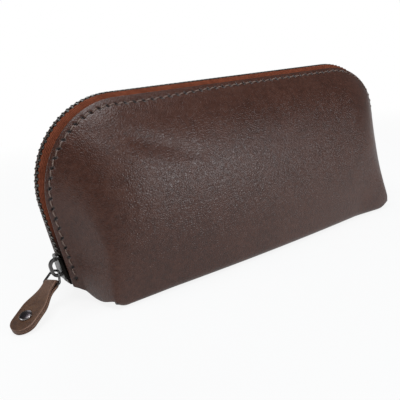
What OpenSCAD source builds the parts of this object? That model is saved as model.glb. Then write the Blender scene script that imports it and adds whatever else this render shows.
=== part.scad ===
// Standing zip pouch for glasses: leather shell folded from a front panel, a base and a back panel,
// with a metal zip running from one end over the top to the other end.
// Millimetres. The origin is the middle of the base on the floor, +X runs along the pouch,
// -Y is the front and +Z is up. The zip lies in the plane Y = 0.

/* [Pouch] */
// length between the two outermost points of the zip line
pouch_len = 205; // [170:1:230]
// height of the zip line above the floor
zip_h = 83; // [70:0.5:95]
// radius of the zip line round the top corners
corner_r = 36; // [28:1:38]
// inward lean of the zip's two side stretches, in degrees
side_lean = 9; // [3:1:10]
// height of the zip's lower ends above the floor
end_h = 7.5; // [4:0.5:9]
// length of the base between its corners
base_len = 177; // [150:1:190]
// depth of the base at its corners
base_depth = 52; // [42:1:60]
// how far the base's long edges bow out in the middle
base_bow = 3; // [0:0.5:5]
// slope of the seam strip beside the zip, in degrees below the zip's own plane
roof = 50; // [42:1:56]
// outer radius of the fold between base and panel
fold_r = 4; // [3:0.5:6]

/* [Leather and lining] */
// thickness of the leather
leather_t = 1.6; // [1.2:0.1:2.2]
// thickness of the lining cloth
lining_t = 0.6; // [0.4:0.1:0.8]
// width of the straight strip sewn to the zip tape
strip_w = 5; // [4:0.5:7]
// drop of the panels' end seams across the sewn strip
end_drop = 2.4; // [1.5:0.1:3]
// length over which the ends of the base rise to the zip
rise_len = 28; // [20:1:40]
// gap between neighbouring sheets
sheet_gap = 0.15; // [0.1:0.05:0.3]

/* [Zip] */
// distance between neighbouring teeth of one row
pitch = 2.5; // [2.2:0.1:3]
// width of a tooth along the zip
tooth_w = 1.05; // [0.9:0.05:1.1]
// reach of a tooth's head past the middle of the zip
tooth_head = 0.8; // [0.6:0.1:0.9]
// distance from the middle of the zip to the outer end of a tooth
tooth_reach = 2.5; // [2.4:0.1:2.8]
// thickness of a tooth across the zip's plane
tooth_t = 1.7; // [1.5:0.1:2]
// thickness of the woven tape
tape_t = 0.7; // [0.5:0.1:0.9]
// tape left showing between the teeth and the leather's edge
tape_show = 2.6; // [2.4:0.1:3.5]

/* [Slider] */
// length of the slider along the zip
slider_len = 11; // [10:0.5:13]
// distance of the slider's middle from the zip's lower end
slider_at = 8.5; // [8:0.5:12]
// thickness of the slider's plates
plate_t = 0.9; // [0.7:0.1:1.2]
// half width of the slider at its narrow end
slider_narrow = 3.5; // [3.4:0.1:3.9]
// half width of the slider at its wide end
slider_wide = 4.2; // [4:0.1:4.7]
// width of the crown across the zip
crown_w = 1.3; // [1.1:0.1:1.4]
// inner radius of the crown's loop
crown_r = 1.8; // [1.7:0.1:2.2]
// thickness of the crown's band
crown_t = 1.3; // [1.1:0.1:1.5]

/* [Pull] */
// diameter of the ring's wire
wire_d = 1; // [0.8:0.1:1.1]
// length of the ring between its top bar and its lower bar
ring_len = 6; // [5.8:0.1:8]
// half width of the ring at its top
ring_top = 1.6; // [1.5:0.05:1.8]
// half width of the ring at its lower bar
ring_low = 4.2; // [4:0.1:5]
// sideways place of the turned ring in the crown, along the ring's bars
ring_shift = 0.9; // [0.7:0.1:1]
// thickness of each leaf of the leather tab
leaf_t = 1.25; // [1:0.05:1.4]
// length of the tab from the ring's lower bar to its tip
tab_len = 26; // [22:0.5:30]
// radius of the tab's round end
tab_r = 5.2; // [4.5:0.1:6]
// diameter of the rivet's domed head
rivet_d = 5.2; // [4.5:0.1:6]
// turn of the pull from the pouch's length towards its front, in degrees
pull_heading = 35; // [30:1:38]
// downward slope of the ring, in degrees
ring_slope = 45; // [35:1:50]
// downward slope of the tab, in degrees
tab_slope = 19; // [12:1:20]

/* [Hidden] */
rnd = 64;
top_half = pouch_len / 2 - corner_r;
side_len = (zip_h - corner_r * (1 + sin(side_lean)) - end_h) / cos(side_lean);
arc_len = corner_r * (90 + side_lean) * PI / 180;
half_len = side_len + arc_len + top_half;
zip_len = 2 * half_len;
fit_gap = 0.1;
// where the tape bends from the zip's plane down to the panels
bend_h = tooth_reach + 0.15;
// leather's outer face above the middle of the tape
skin_o = tape_t / 2 + sheet_gap + leather_t;
// steps of the lofted panels
side_steps = 6;
arc_steps = 12;
top_steps = 12;
drop_steps = 9;
strip_steps = 2;
fold_steps = 2;
last_row = strip_steps + drop_steps + fold_steps;
plate_n = tooth_t / 2 + 0.25;
slot_n = tape_t / 2 + 0.2;
plate_top = plate_n + plate_t;

// every sub-part's node name
// the sub-part to build, or all of them

// Lines and directions of the zip

// Zip line at distance s from its left end, up to the middle: [x, z, outward x, outward z].
function zip_half(s) =
  s < side_len ?
    let (q = side_len - s)
    [-(top_half + corner_r * cos(side_lean)) + q * sin(side_lean),
     zip_h - corner_r * (1 + sin(side_lean)) - q * cos(side_lean), -cos(side_lean), -sin(side_lean)]
  : s < side_len + arc_len ?
    let (a = (s - side_len) / corner_r * 180 / PI - side_lean)
    [-(top_half + corner_r * cos(a)), zip_h - corner_r + corner_r * sin(a), -cos(a), sin(a)]
  : [s - half_len, zip_h, 0, 1];

// The same for the whole zip, whose right half mirrors the left.
function zip_at(s) =
  s <= half_len ? zip_half(s)
  : let (h = zip_half(zip_len - s)) [-h[0], h[1], -h[2], h[3]];

function unit(v) = v / norm(v);
// direction down the seam strip, and the strip's outward normal
function strip_dir(z) = [-sin(roof) * z[2], -cos(roof), -sin(roof) * z[3]];
function strip_out(z) = [cos(roof) * z[2], -sin(roof), cos(roof) * z[3]];
function on_strip(s, e, o) =
  let (z = zip_at(s)) [z[0], -bend_h, z[1]] + e * strip_dir(z) + o * strip_out(z);

// Puts children at distance s along the zip: local X outward, Y to the front, Z along the zip.
module at_zip(s) {
  z = zip_at(s);
  multmatrix([[z[2], 0, z[3], z[0]], [0, -1, 0, 0], [z[3], 0, -z[2], z[1]], [0, 0, 0, 1]]) children();
}

// Lofted leather panels

stations = concat(
  [for (i = [0 : side_steps - 1]) side_len * i / side_steps],
  [for (i = [0 : arc_steps - 1]) side_len + arc_len * i / arc_steps],
  [for (i = [0 : top_steps - 1]) side_len + arc_len + 2 * top_half * i / top_steps],
  [for (i = [0 : arc_steps - 1]) zip_len - side_len - arc_len * (1 - i / arc_steps)],
  [for (i = [0 : side_steps]) zip_len - side_len * (1 - i / side_steps)]);
last_station = len(stations) - 1;

function from_end(s) = min(s, zip_len - s);
function inward(s) = s < half_len ? 1 : -1;
// where the line dropped from the zip at s meets the base's front fold
function base_x(s) = -inward(s) * base_len / 2 * (1 - pow(from_end(s) / half_len, 2.2));
// fold radius, smaller towards the base's corners but never tighter than the leather
function fold_at(x) =
  let (corner_fold = leather_t + 0.6, far = min(1, (base_len / 2 - abs(x)) / rise_len))
  corner_fold + max(0, fold_r - corner_fold) * far;
// front edge of the base
function base_y(x) = -base_depth / 2 - base_bow * (1 - pow(2 * x / base_len, 2));
function fold_point(x, a) =
  let (r = fold_at(x)) [x, base_y(x) + r * (1 - cos(a)), r * (1 - sin(a))];
function fold_angle(row) = 45 * (row - strip_steps - drop_steps) / fold_steps;
function hermite(v, p, tp, q, tq) =
  p * (2 * v * v * v - 3 * v * v + 1) + tp * (v * v * v - 2 * v * v + v)
  + q * (3 * v * v - 2 * v * v * v) + tq * (v * v * v - v * v);

// Point across the sewn strip; at the zip's ends the strip is cut on a slant along its own plane.
function strip_point(s, edge, v) =
  let (z = zip_at(s), slant = end_drop * exp(-pow(from_end(s) / 8, 2)) * inward(s))
  edge + strip_dir(z) * strip_w * v - slant * v * [z[3], 0, -z[2]];

// Outer face of the front panel: row 0 is the edge at the zip and the last row is the fold at the base.
function panel_point(s, row) =
  let (
    z = zip_at(s),
    d = strip_dir(z),
    edge = on_strip(s, tape_show, skin_o),
    x = base_x(s)
  )
  row <= strip_steps ? strip_point(s, edge, row / strip_steps)
  : row > strip_steps + drop_steps ? fold_point(x, fold_angle(row))
  : let (
      near_end = exp(-pow(from_end(s) / 14, 2)),
      p = strip_point(s, edge, 1),
      q = fold_point(x, 0),
      reach = norm(q - p),
      tp = unit((1 - near_end) * d + near_end * [0.35 * inward(s), -0.8, -0.35]) * reach * 0.95,
      tq = unit((1 - near_end) * [0, 0.06, -1] + near_end * [0.25 * inward(s), -0.95, -0.15]) * reach * 0.9
    )
    hermite((row - strip_steps) / drop_steps, p, tp, q, tq);

panel_grid = [for (s = stations) [for (row = [0 : last_row]) panel_point(s, row)]];

// Outward normal of a grid at station i and row j, by differences.
function grid_normal(g, i, j) =
  let (n = len(g) - 1, m = len(g[0]) - 1)
  unit(cross(g[i][min(j + 1, m)] - g[i][max(j - 1, 0)], g[min(i + 1, n)][j] - g[max(i - 1, 0)][j]));
// Outward normal of the front fold at angle a.
function fold_normal(a) = [0, -cos(a), -sin(a)];

// The fold's rows have the fold's own normals, which turn to the end wall's at the corners.
first_fold = strip_steps + drop_steps;
panel_normals = [for (i = [0 : last_station]) [for (row = [0 : last_row])
  row < first_fold - 1 ? grid_normal(panel_grid, i, row)
  : let (
      corner = exp(-pow(from_end(stations[i]) / 16, 2)),
      wall = grid_normal(panel_grid, i, first_fold - 2),
      own = row < first_fold ? grid_normal(panel_grid, i, row) : fold_normal(fold_angle(row))
    ) unit(corner * wall + (1 - corner) * own)]];

// Closed sheet between depths d0 and d1 below a grid's outer face, over the stated rows and stations.
module sheet(g, n, d0, d1, i0, i1, j0, j1) {
  w = j1 - j0 + 1;
  h = i1 - i0 + 1;
  pts = concat(
    [for (i = [i0 : i1]) for (j = [j0 : j1]) g[i][j] - d0 * n[i][j]],
    [for (i = [i0 : i1]) for (j = [j0 : j1]) g[i][j] - d1 * n[i][j]]);
  b = w * h;
  faces = concat(
    [for (i = [0 : h - 2]) for (j = [0 : w - 2]) let (a = i * w + j) each
      [[a, a + w, a + w + 1], [a, a + w + 1, a + 1],
       [b + a, b + a + w + 1, b + a + w], [b + a, b + a + 1, b + a + w + 1]]],
    [for (i = [0 : h - 2]) let (a = i * w, c = a + w - 1) each
      [[b + a, b + a + w, a + w], [b + a, a + w, a],
       [c, c + w, b + c + w], [c, b + c + w, b + c]]],
    [for (j = [0 : w - 2]) let (a = j, c = (h - 1) * w + j) each
      [[a, a + 1, b + a + 1], [a, b + a + 1, b + a],
       [c + 1, c, b + c], [c + 1, b + c, b + c + 1]]]);
  polyhedron(pts, faces, convexity = 6);
}

// Base: its ends rise in the middle to meet the zip, its long sides share the panels' folds

base_rows = [last_row, 10, 9, 8, 7, 6, 4, 2, 0];
half_cols = len(base_rows);
base_steps = 22;
base_inset = leather_t + tape_t + 2 * sheet_gap + 0.5;
base_edge = 49;
edge_step = 20.5;

// end edge of the base, just inside the front panel's end edge
function end_point(c) =
  c < half_cols ? panel_grid[0][base_rows[c]] - base_inset * panel_normals[0][base_rows[c]]
  : let (p = end_point(half_cols - 1)) [p[0], 0, p[2]];
// flat part of the base with half of each fold
function flat_point(x, c) =
  c < 3 ? fold_point(x, base_edge + edge_step * c)
  : [x, (base_y(x) + fold_at(x)) * (1 - (c - 2) / (half_cols - 2)), 0];
function front_base_point(x, c) =
  let (
    far = min(1, (base_len / 2 - abs(x)) / rise_len),
    rise = pow(1 - far, 2),
    shift = end_point(c) - flat_point(-base_len / 2, c)
  ) flat_point(x, c) + rise * [x < 0 ? shift[0] : -shift[0], shift[1], shift[2]];
function base_point(x, c) =
  c <= half_cols ? front_base_point(x, c)
  : let (p = front_base_point(x, 2 * half_cols - c)) [p[0], -p[1], p[2]];
// stations crowd towards the ends, where the base rises
base_grid = [for (i = [0 : base_steps])
  [for (c = [0 : 2 * half_cols]) base_point(-base_len / 2 * cos(180 * i / base_steps), c)]];
// the base's long edges share the folds' normals
base_normals = [for (i = [0 : base_steps]) [for (c = [0 : 2 * half_cols])
  let (mirrored = 2 * half_cols - c, edge = fold_normal(base_edge + edge_step * min(c, mirrored)))
  c < 2 ? edge : mirrored < 2 ? [edge[0], -edge[1], edge[2]] : grid_normal(base_grid, i, c)]];

// Lining of the panels: from under the sewn strip down to just above the base, higher at the base's corners
lining_d = leather_t + tape_t + 2 * sheet_gap;
lining_steps = 10;
end_stations = 2;
function lining_row(s, k) =
  let (lowest = first_fold - 0.2 - 1.6 * exp(-pow(from_end(s) / 25, 2)))
  1 + (lowest - 1) * k / lining_steps;
lining_grid = [for (i = [end_stations : last_station - end_stations])
  [for (k = [0 : lining_steps]) panel_point(stations[i], lining_row(stations[i], k))]];
lining_normals = [for (i = [0 : len(lining_grid) - 1])
  [for (k = [0 : lining_steps]) grid_normal(lining_grid, i, k)]];

module leather() color([0.30, 0.24, 0.22]) children();
module cloth() color([0.55, 0.45, 0.36]) children();
module weave() color([0.49, 0.26, 0.18]) children();
module metal() color([0.33, 0.33, 0.34]) children();

module front_sheet() sheet(panel_grid, panel_normals, 0, leather_t, 0, last_station, 0, last_row);
module lining_sheet()
  sheet(lining_grid, lining_normals, lining_d, lining_d + lining_t, 0, len(lining_grid) - 1, 0, lining_steps);

module front_panel() leather() front_sheet();
module back_panel() leather() mirror([0, 1, 0]) front_sheet();
module base_panel() leather()
  sheet(base_grid, base_normals, 0, leather_t, 0, base_steps, 0, 2 * half_cols);
module front_lining() cloth() lining_sheet();
module back_lining() cloth() mirror([0, 1, 0]) lining_sheet();
module base_lining() cloth()
  sheet(base_grid, base_normals, leather_t + sheet_gap, leather_t + sheet_gap + lining_t,
    3, base_steps - 3, 3, 2 * half_cols - 3);

// Zip tapes: one cross-section swept along the zip

bend_steps = 16;
tape_stations = concat(
  [0], [for (i = [0 : bend_steps]) side_len + arc_len * i / bend_steps],
  [for (i = [0 : bend_steps]) zip_len - side_len - arc_len * (1 - i / bend_steps)], [zip_len]);

// Sweeps a bent strip's six points [outward, forward] along the zip.
module swept(profile) {
  m = len(profile);
  last = len(tape_stations) - 1;
  pts = [for (s = tape_stations) let (z = zip_at(s)) for (p = profile)
    [z[0] + p[0] * z[2], -p[1], z[1] + p[0] * z[3]]];
  ends = [[0, 1, 4, 5], [1, 2, 3, 4]];
  faces = concat(
    [for (k = [0 : last - 1]) for (j = [0 : m - 1]) let (a = k * m + j, b = k * m + (j + 1) % m) each
      [[a, b, b + m], [a, b + m, a + m]]],
    [for (f = ends) [f[3], f[2], f[1], f[0]]],
    [for (f = ends) [for (i = f) last * m + i]]);
  polyhedron(pts, faces, convexity = 8);
}

// the teeth's legs grip this much of the tape's edge
grip_deep = 1.2;
tape_in = tooth_reach - grip_deep;
tape_end = tape_show + strip_w - 0.5;
// height of the tape's slanted faces where it bends
tape_knee = tape_t / 2 * tan(roof / 2);
tape_profile = [
  [tape_t / 2, tape_in],
  [tape_t / 2, bend_h + tape_knee],
  [-sin(roof) * tape_end + cos(roof) * tape_t / 2, bend_h + cos(roof) * tape_end + sin(roof) * tape_t / 2],
  [-sin(roof) * tape_end - cos(roof) * tape_t / 2, bend_h + cos(roof) * tape_end - sin(roof) * tape_t / 2],
  [-tape_t / 2, bend_h - tape_knee],
  [-tape_t / 2, tape_in]];

module zip_tape_front() weave() swept(tape_profile);
module zip_tape_back() weave() mirror([0, 1, 0]) swept(tape_profile);

// Teeth: each one a metal block with two legs that grip the tape's edge

tooth_first = slider_at + 0.8;
tooth_last = zip_len - 6;
teeth = floor((tooth_last - tooth_first) / pitch);
grip_n = tape_t / 2 + fit_gap;
grip_h = tape_in - fit_gap;
tooth_half = tooth_t / 2;
tooth_profile = [
  [-0.65 * tooth_half, -tooth_head], [0.65 * tooth_half, -tooth_head],
  [0.85 * tooth_half, 0.3 - tooth_head], [tooth_half, 0.4 * tooth_reach],
  [tooth_half, tooth_reach - 0.35], [0.75 * tooth_half, tooth_reach],
  [grip_n, tooth_reach], [grip_n, grip_h], [-grip_n, grip_h], [-grip_n, tooth_reach],
  [-0.75 * tooth_half, tooth_reach], [-tooth_half, tooth_reach - 0.35],
  [-tooth_half, 0.4 * tooth_reach], [-0.85 * tooth_half, 0.3 - tooth_head]];

module tooth() linear_extrude(tooth_w, center = true) polygon(tooth_profile);
module zip_teeth_front() metal()
  for (k = [0 : teeth - 1]) at_zip(tooth_first + pitch * k) tooth();
module zip_teeth_back() metal() mirror([0, 1, 0])
  for (k = [0 : teeth - 1]) at_zip(tooth_first + pitch * (k + 0.5)) tooth();

// Stops: a clip on each tape below the closed slider, and one clip over both tapes at the other end

stop_len = 1.8;
stop_h = tooth_reach - 0.1;
stop_in = 0.4;
module stop_clip() linear_extrude(stop_len, center = true)
  polygon([[-tooth_half, stop_in], [tooth_half, stop_in], [tooth_half, stop_h], [grip_n, stop_h],
    [grip_n, grip_h], [-grip_n, grip_h], [-grip_n, stop_h], [-tooth_half, stop_h]]);
module zip_stops_left() metal()
  for (side = [0, 1]) mirror([0, side, 0]) at_zip(1.4) stop_clip();
module zip_stop_right() metal()
  at_zip(zip_len - 3.5)
    difference() {
      cube([2 * tooth_half, 2 * stop_h, stop_len + 1], center = true);
      for (side = [0, 1]) mirror([0, side, 0])
        translate([-grip_n, grip_h, -stop_len]) cube([2 * grip_n, stop_h, 2 * stop_len]);
    }

// Slider: outer plate with two flanges, plain inner plate and a wedge that joins them

// Stands an outline [forward, along the zip] up as a plate between two distances from the zip's plane.
module plate(n0, n1, outline)
  translate([n0, 0, 0]) rotate([90, 0, 90]) linear_extrude(n1 - n0) polygon(outline);

half_slider = slider_len / 2;
chamfer = 1.2;
function plate_outline(narrow, wide) = [
  [narrow - chamfer, half_slider], [narrow, half_slider - chamfer], [wide, chamfer - half_slider],
  [wide - chamfer, -half_slider], [chamfer - wide, -half_slider], [-wide, chamfer - half_slider],
  [-narrow, half_slider - chamfer], [chamfer - narrow, half_slider]];
flange_in = tooth_reach + 0.2;
foot_t = 1.1;
foot_at = 1.2 + crown_r + crown_t / 2;
foot_deep = 0.5;

module slider_body() metal()
  at_zip(slider_at)
    difference() {
      union() {
        plate(plate_n, plate_top, plate_outline(slider_narrow, slider_wide));
        plate(-plate_top, -plate_n, plate_outline(flange_in - 0.3, flange_in));
        for (side = [-1, 1])
          plate(slot_n, plate_n + 0.1, [[side * flange_in, half_slider - chamfer],
            [side * slider_narrow, half_slider - chamfer], [side * slider_wide, chamfer - half_slider],
            [side * (flange_in + 0.5), chamfer - half_slider]]);
        plate(-plate_n - 0.1, plate_n + 0.1, [[0, -0.2], [1.1, -2.2], [0.9, 0.3 - half_slider],
          [-0.9, 0.3 - half_slider], [-1.1, -2.2]]);
      }
      for (end = [-1, 1])
        translate([plate_top - foot_deep, -crown_w / 2 - 0.05, end * foot_at - foot_t / 2 - 0.05])
          cube([foot_deep + 1, crown_w + 0.1, foot_t + 0.1]);
    }

// Crown: a long closed loop over the outer plate, with two feet set into it
crown_n = plate_top + 0.6;
module crown_outline(r) {
  for (end = [-1, 1]) translate([crown_n, end * 1.2]) circle(r, $fn = rnd);
  translate([crown_n - r, -1.2]) square([2 * r, 2.4]);
}
module slider_crown() metal()
  at_zip(slider_at) {
    rotate([90, 0, 0])
      linear_extrude(crown_w, center = true)
        difference() {
          crown_outline(crown_r + crown_t);
          crown_outline(crown_r);
          translate([plate_top - 10 + 0.02, -10]) square([10, 20]);
        }
    for (end = [-1, 1])
      translate([plate_top - foot_deep + 0.05, -crown_w / 2, end * foot_at - foot_t / 2])
        cube([foot_deep + 0.3, crown_w, foot_t]);
  }

// Pull: wire ring in the crown, folded leather tab on the ring, one rivet

wire_r = wire_d / 2;
low_bend = 0.9;
hook_n = plate_top + wire_r + 0.5;
hook_t = -1.4;
hook = let (z = zip_at(slider_at)) [z[0] + hook_n * z[2] + hook_t * z[3], 0, z[1] + hook_n * z[3] - hook_t * z[2]];
bar = hook + ring_shift * [-sin(pull_heading), cos(pull_heading), 0]
  + ring_len * [-cos(pull_heading) * cos(ring_slope), -sin(pull_heading) * cos(ring_slope), -sin(ring_slope)];

// Round wire along a closed run of corners [x, y], bent to a radius at each corner.
// The straight lengths are a hair slimmer and lap into the bends.
module bent_wire(corners, radii) {
  n = len(corners);
  lap = 0.12;
  slim_r = wire_r - 0.02;
  for (k = [0 : n - 1]) {
    p = corners[k];
    before = unit(p - corners[(k + n - 1) % n]);
    after = unit(corners[(k + 1) % n] - p);
    after_next = unit(corners[(k + 2) % n] - corners[(k + 1) % n]);
    turn = acos(before * after);
    turn_next = acos(after * after_next);
    cut = radii[k] * tan(turn / 2);
    cut_next = radii[(k + 1) % n] * tan(turn_next / 2);
    run = norm(corners[(k + 1) % n] - p) - cut - cut_next;
    start = p + after * (cut - lap);
    translate([start[0], start[1], 0])
      rotate([0, 90, atan2(after[1], after[0])]) cylinder(r = slim_r, h = run + 2 * lap, $fn = 24);
    middle = p + unit(after - before) * radii[k] / cos(turn / 2);
    from = atan2(-middle[1] + (p - before * cut)[1], -middle[0] + (p - before * cut)[0]);
    translate([middle[0], middle[1], 0]) rotate([0, 0, from])
      rotate_extrude(angle = turn, $fn = rnd) translate([radii[k], 0]) circle(wire_r, $fn = 24);
  }
}

module pull_ring() metal()
  translate(hook) rotate([0, ring_slope, 180 + pull_heading]) translate([0, -ring_shift, 0])
    bent_wire([[0, ring_top], [0, -ring_top], [ring_len, -ring_low], [ring_len, ring_low]],
      [ring_top, ring_top, low_bend, low_bend]);

// Tab in its own frame: X from the ring's bar to the tip, Y along the bar, Z up.
tunnel_r = wire_r + fit_gap;
fold_out = tunnel_r + leaf_t;
ring_lean = atan((ring_low - ring_top) / ring_len);
neck = ring_low - low_bend * tan((90 + ring_lean) / 2) - fit_gap;
bulb_x = tab_len - tab_r;
rivet_x = 0.72 * tab_len;
neck_x = 3;
leaf_gap = 0.05;
leaf_top = leaf_gap + leaf_t;
post_r = 0.9;
// one long edge of the tab: it widens from its neck in a soft S up to its full width, then rounds to the tip
widen_x = 14;
tab_steps = 16;
function ease(v) = let (u = max(0, min(1, v))) u * u * (3 - 2 * u);
tab_edge = concat(
  [[-fold_out - 1, neck]],
  [for (i = [0 : tab_steps]) let (v = i / tab_steps) [neck_x + (widen_x - neck_x) * v, neck + (tab_r - neck) * ease(v)]],
  [for (i = [0 : tab_steps]) let (a = 90 * (1 - i / tab_steps)) [bulb_x + tab_r * cos(a), tab_r * sin(a)]]);
last_edge = len(tab_edge) - 1;
module tab_plan()
  polygon(concat(tab_edge, [for (i = [1 : last_edge]) [tab_edge[last_edge - i][0], -tab_edge[last_edge - i][1]]]));
// side view: the strip runs round the bar, and its two leaves close up where the neck ends
module tab_side() {
  join_x = 9;
  far = tab_len + 1;
  difference() {
    union() {
      circle(fold_out, $fn = rnd);
      polygon([[0, -fold_out], [join_x, -leaf_top], [far, -leaf_top], [far, leaf_top],
        [join_x, leaf_top], [0, fold_out]]);
    }
    circle(tunnel_r, $fn = rnd);
    polygon([[0, -tunnel_r], [join_x, -leaf_gap], [far + 1, -leaf_gap], [far + 1, leaf_gap],
      [join_x, leaf_gap], [0, tunnel_r]]);
  }
}
module on_bar() translate(bar) rotate([0, tab_slope, 180 + pull_heading]) children();

module pull_tab() leather()
  on_bar() difference() {
    intersection() {
      linear_extrude(4 * fold_out, center = true) tab_plan();
      rotate([90, 0, 0]) linear_extrude(4 * tab_r, center = true) tab_side();
    }
    translate([rivet_x, 0, -5]) cylinder(r = post_r + fit_gap, h = 10, $fn = 32);
  }

head_h = 1.1;
module rivet_head() metal()
  on_bar() translate([rivet_x, 0, 0]) {
    translate([0, 0, leaf_top + 0.02])
      intersection() {
        translate([0, 0, head_h - (rivet_d * rivet_d / 4 + head_h * head_h) / (2 * head_h)])
          sphere(r = (rivet_d * rivet_d / 4 + head_h * head_h) / (2 * head_h), $fn = rnd);
        cylinder(d = rivet_d + 2, h = head_h + 1, $fn = rnd);
      }
    translate([0, 0, -leaf_top - 0.35]) cylinder(r = post_r, h = 2 * leaf_top + 0.5, $fn = 32);
  }
module rivet_back() metal()
  on_bar() translate([rivet_x, 0, -leaf_top - 0.42])
    difference() {
      cylinder(d = rivet_d - 0.8, h = 0.4, $fn = rnd);
      translate([0, 0, -1]) cylinder(r = post_r + 0.05, h = 3, $fn = 32);
    }

front_panel();
back_panel();
base_panel();
front_lining();
back_lining();
base_lining();
zip_tape_front();
zip_tape_back();
zip_teeth_front();
zip_teeth_back();
zip_stops_left();
zip_stop_right();
slider_body();
slider_crown();
pull_ring();
pull_tab();
rivet_head();
rivet_back();
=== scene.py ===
"""Standing leather glasses case with a zip: its finished surfaces, seams and hardware, and a plain studio."""

import bmesh
import bpy
import numpy as np
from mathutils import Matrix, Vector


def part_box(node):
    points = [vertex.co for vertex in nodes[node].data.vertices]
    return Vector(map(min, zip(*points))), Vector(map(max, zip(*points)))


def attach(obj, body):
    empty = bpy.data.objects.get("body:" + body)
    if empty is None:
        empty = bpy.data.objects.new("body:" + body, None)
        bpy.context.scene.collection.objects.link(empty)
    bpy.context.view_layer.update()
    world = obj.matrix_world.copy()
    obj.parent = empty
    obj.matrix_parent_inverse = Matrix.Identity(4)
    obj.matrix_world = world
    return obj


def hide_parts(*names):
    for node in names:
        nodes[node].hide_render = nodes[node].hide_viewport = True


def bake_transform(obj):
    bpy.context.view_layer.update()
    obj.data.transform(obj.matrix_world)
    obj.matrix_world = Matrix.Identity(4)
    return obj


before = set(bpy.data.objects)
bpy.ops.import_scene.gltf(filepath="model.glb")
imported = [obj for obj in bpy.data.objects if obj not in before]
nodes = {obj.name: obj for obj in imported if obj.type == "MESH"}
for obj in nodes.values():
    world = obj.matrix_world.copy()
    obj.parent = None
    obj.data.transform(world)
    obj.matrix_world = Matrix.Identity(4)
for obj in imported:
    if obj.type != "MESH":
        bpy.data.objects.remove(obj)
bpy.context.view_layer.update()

# Sizes of the case in millimetres; angles are given in degrees

MM = 0.001
pouch_len = 205
zip_h = 83
corner_r = 36
side_lean = np.radians(9)
end_h = 7.5
base_len = 177
base_depth = 52
base_bow = 3
roof = np.radians(50)
fold_r = 4
leather_t = 1.6
lining_t = 0.6
strip_w = 5
end_drop = 2.4
rise_len = 28
sheet_gap = 0.15
pitch = 2.5
tooth_w = 1.05
tooth_head = 0.8
tooth_reach = 2.5
tooth_half = 0.85
tape_t = 0.7
tape_in = tooth_reach - 1.2
tape_least = 1.3
tape_most = 3.4
fit_gap = 0.1

top_half = pouch_len / 2 - corner_r
side_len = (zip_h - corner_r * (1 + np.sin(side_lean)) - end_h) / np.cos(side_lean)
arc_len = corner_r * (np.pi / 2 + side_lean)
half_len = side_len + arc_len + top_half
zip_len = 2 * half_len
bend_h = tooth_reach + 0.15
skin_o = tape_t / 2 + sheet_gap + leather_t
lining_d = leather_t + tape_t + 2 * sheet_gap
base_inset = lining_d + 0.5
forward = np.array([0.0, -1.0, 0.0])
fold_end = np.radians(88)

# Slider and pull
slider_at = 8.5
first_tooth = slider_at + 0.8
last_tooth_gap = 6
plate_top = 2.0
wire_r = 0.5
ring_len = 6
ring_top = 1.6
ring_low = 4.2
ring_shift = 0.9
low_bend = 0.9
hook_n = plate_top + wire_r + 0.5
hook_t = -1.4
pull_heading = np.radians(35)
ring_slope = np.radians(45)
tab_slope = np.radians(19)
leaf_t = 1.25
leaf_gap = 0.05
tab_len = 26
tab_r = 5.2
rivet_d = 5.2
rivet_x = 0.72 * tab_len

# Stitches
stitch_pitch = 4.35
stitch_in = 2.45
stitch_first = 3.2
thread_r = 0.32
hole_half = 0.55
hole_long = 0.95
hole_depth = 0.6

# Soft set of the leather
shoulder_swell = 3.0
corner_swell = 2.2
crease_depth = 1.0
end_sag = 1.9
rubbed_left = 6.5
rubbed_right = 9.0


# Points, faces and pieces

def unit(v):
    """Vectors along the last axis, each divided by its length."""
    return v / np.linalg.norm(v, axis=-1, keepdims=True)


def smooth_step(v, start, end):
    """Zero at start and before, one at end and past it, and 3u^2 - 2u^3 of the share u of the way between; it
    falls where end lies below start."""
    u = np.clip((v - start) / (end - start), 0, 1)
    return u * u * (3 - 2 * u)


def bell(v, middle, width):
    """Bell curve: exp(-u^2), where u is the distance from the middle in widths."""
    return np.exp(-((v - middle) / width) ** 2)


def grid_quads(rows, cols, wrap=False):
    """Quads of a grid numbered row by row; wrap joins the last column to the first."""
    r, c = np.meshgrid(np.arange(rows - 1), np.arange(cols if wrap else cols - 1), indexing="ij")
    here = r * cols + c
    beside = r * cols + (c + 1) % cols
    return np.stack([here, beside, beside + cols, here + cols], -1).reshape(-1, 4)


def shell(outer, inner):
    """Points and quads of a closed sheet between two equal grids: both faces and the rim round them."""
    rows, cols = outer.shape[:2]
    count = rows * cols
    front = grid_quads(rows, cols)
    number = np.arange(count).reshape(rows, cols)
    rim = np.concatenate([number[0, :], number[1:, -1], number[-1, -2::-1], number[-2:0:-1, 0]])
    after = np.roll(rim, -1)
    side = np.stack([after, rim, rim + count, after + count], -1)
    points = np.concatenate([outer.reshape(-1, 3), inner.reshape(-1, 3)])
    return points, np.concatenate([front, front[:, ::-1] + count, side])


def repeated(points, faces):
    """Points of many copies of one shape, and each copy's own faces."""
    copies, count = points.shape[:2]
    numbers = np.arange(copies)[:, None, None] * count + faces[None]
    return points.reshape(-1, 3), numbers.reshape(-1, faces.shape[1])


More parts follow.
